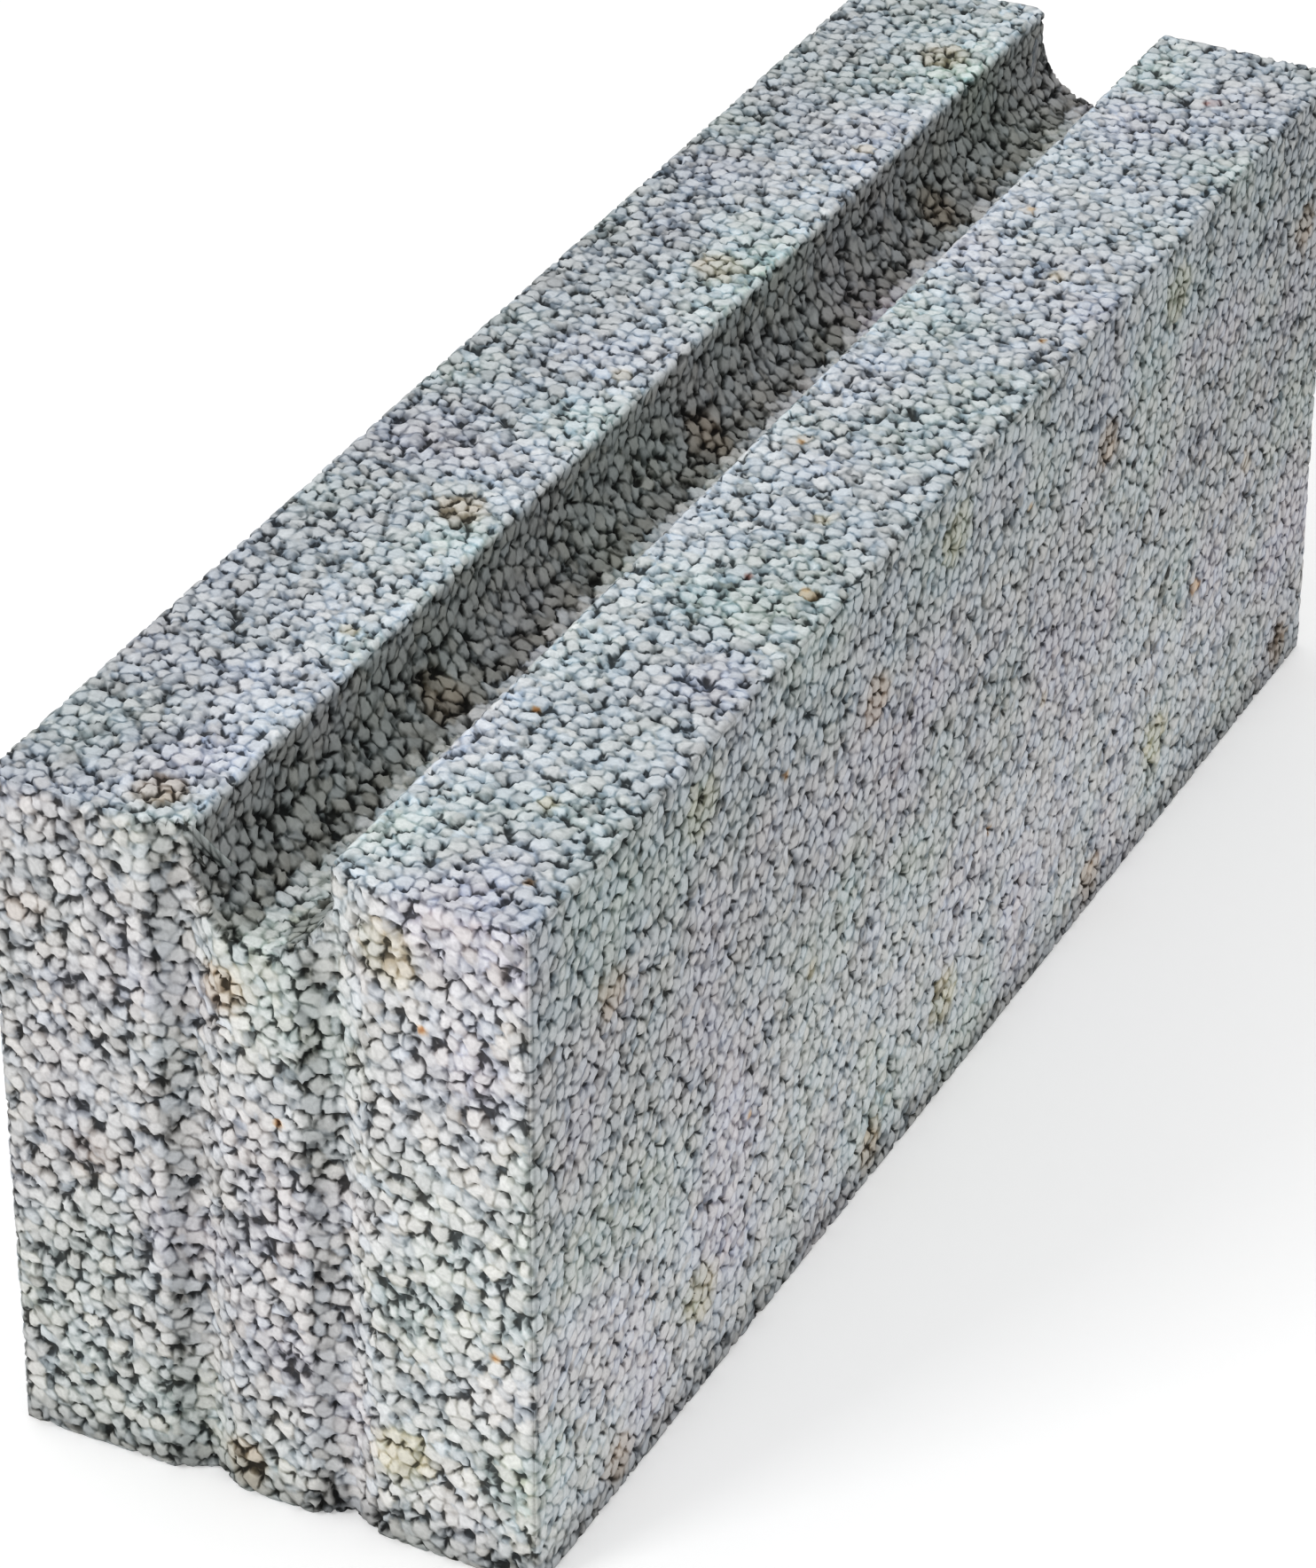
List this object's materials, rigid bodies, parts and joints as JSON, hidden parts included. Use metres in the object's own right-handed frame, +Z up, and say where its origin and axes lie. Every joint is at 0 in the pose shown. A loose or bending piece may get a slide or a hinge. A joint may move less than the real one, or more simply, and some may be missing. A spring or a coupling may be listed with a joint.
{
  "type": "concrete block",
  "caption": "Solid lightweight-aggregate concrete block with a reinforcement groove along its top bed and two mortar keys in one end.",
  "frame": {"origin": "centre of the bottom bed face", "axes": "+Z up, +Y along the block towards its plain end, -Y towards the keyed end, +X across the wall"},
  "size_m": [0.148, 0.498, 0.195],
  "materials": {
    "concrete": "bare open-textured concrete of rounded light grey grains, with dark pores and a few rusty stains"
  },
  "bodies": {
    "root": {"concrete_block": "concrete"}
  },
  "joints": []
}
